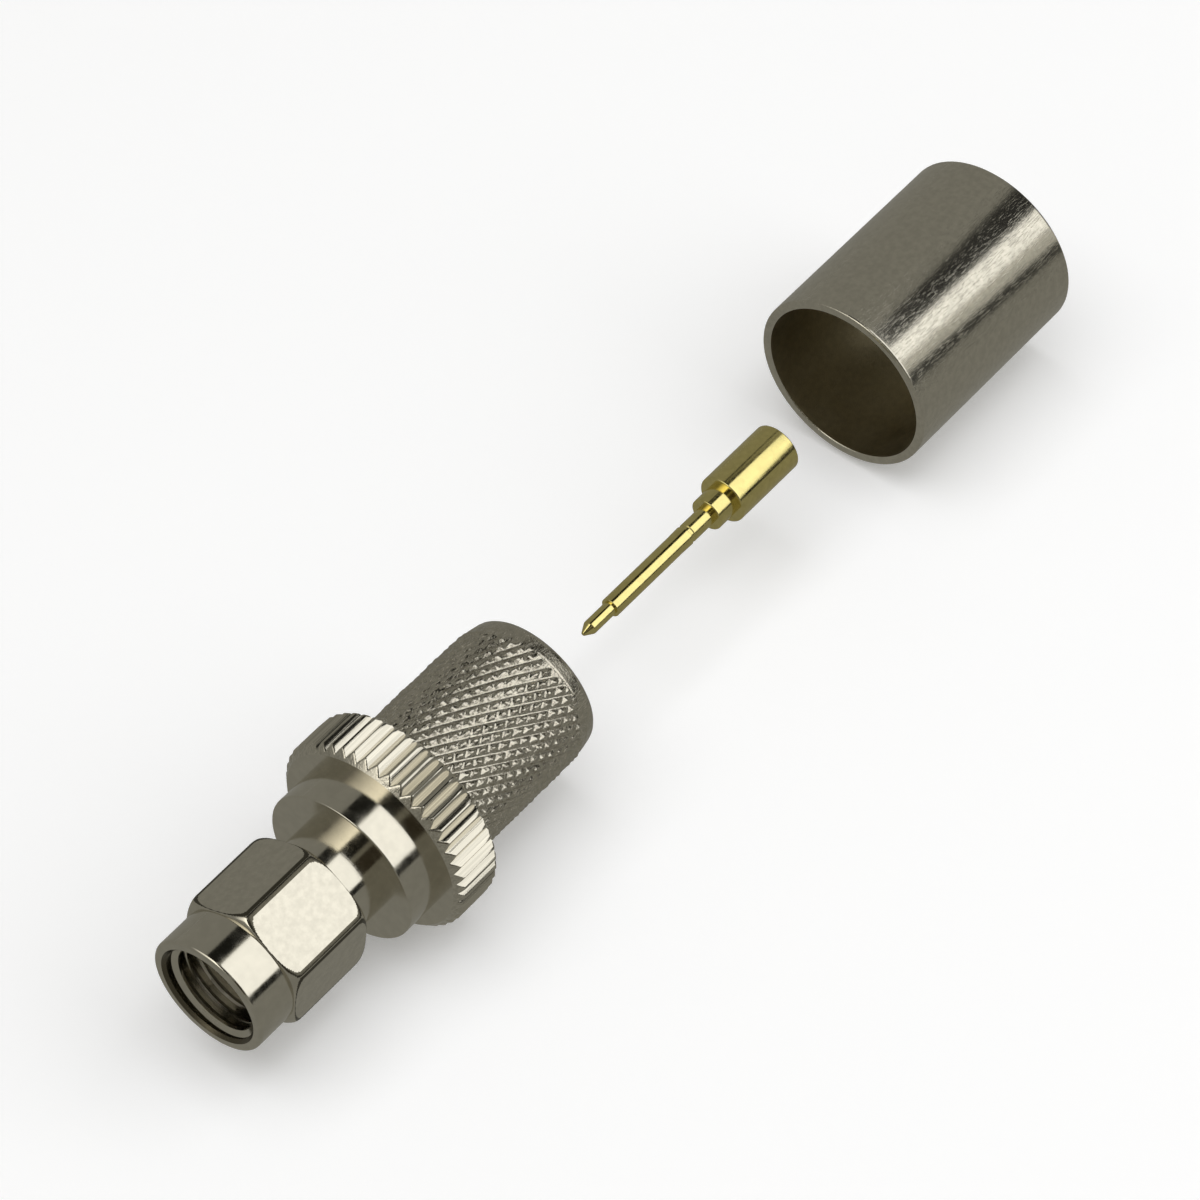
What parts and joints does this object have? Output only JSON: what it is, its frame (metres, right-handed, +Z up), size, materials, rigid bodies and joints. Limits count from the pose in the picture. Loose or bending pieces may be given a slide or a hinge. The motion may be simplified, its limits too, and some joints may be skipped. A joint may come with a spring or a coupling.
{
  "type": "sma connector",
  "caption": "Male SMA crimp plug for thick coaxial cable, taken apart in line: plug with hex coupling nut and knurled crimp stem, gold centre pin, crimp ferrule.",
  "frame": {"origin": "on the connector's axis, at the mating face of the plug (the front of its contact nose)", "axes": "+X along the connector's axis from the nut back to the cable, +Z up, lying on the knurled ring"},
  "size_m": [0.0735, 0.0132, 0.0132],
  "materials": {
    "nickel": "bright nickel plate on turned brass",
    "nickel_satin": "nickel plate with fine scratches, on brass",
    "gold": "gold plate on turned brass",
    "spring_bronze": "plain phosphor bronze",
    "ptfe": "white PTFE, smooth and waxy",
    "silicone": "silicone rubber"
  },
  "bodies": {
    "plug": {"front_body": "nickel", "rear_body": "nickel", "insulator": "ptfe", "gasket": "silicone", "retaining_ring": "spring_bronze"},
    "nut": {"coupling_nut": "nickel"},
    "pin": {"centre_pin": "gold"},
    "ferrule": {"crimp_ferrule": "nickel_satin"}
  },
  "joints": [
    {"name": "nut_spin", "type": "hinge", "parent": "plug", "child": "nut", "pos_m": [0, 0, 0], "axis": [1, 0, 0], "continuous": true},
    {"name": "pin_slide", "type": "slide", "parent": "plug", "child": "pin", "axis": [-1, 0, 0], "range_m": [0, 0.03205]},
    {"name": "ferrule_slide", "type": "slide", "parent": "plug", "child": "ferrule", "axis": [-1, 0, 0], "range_m": [0, 0.0408]}
  ]
}
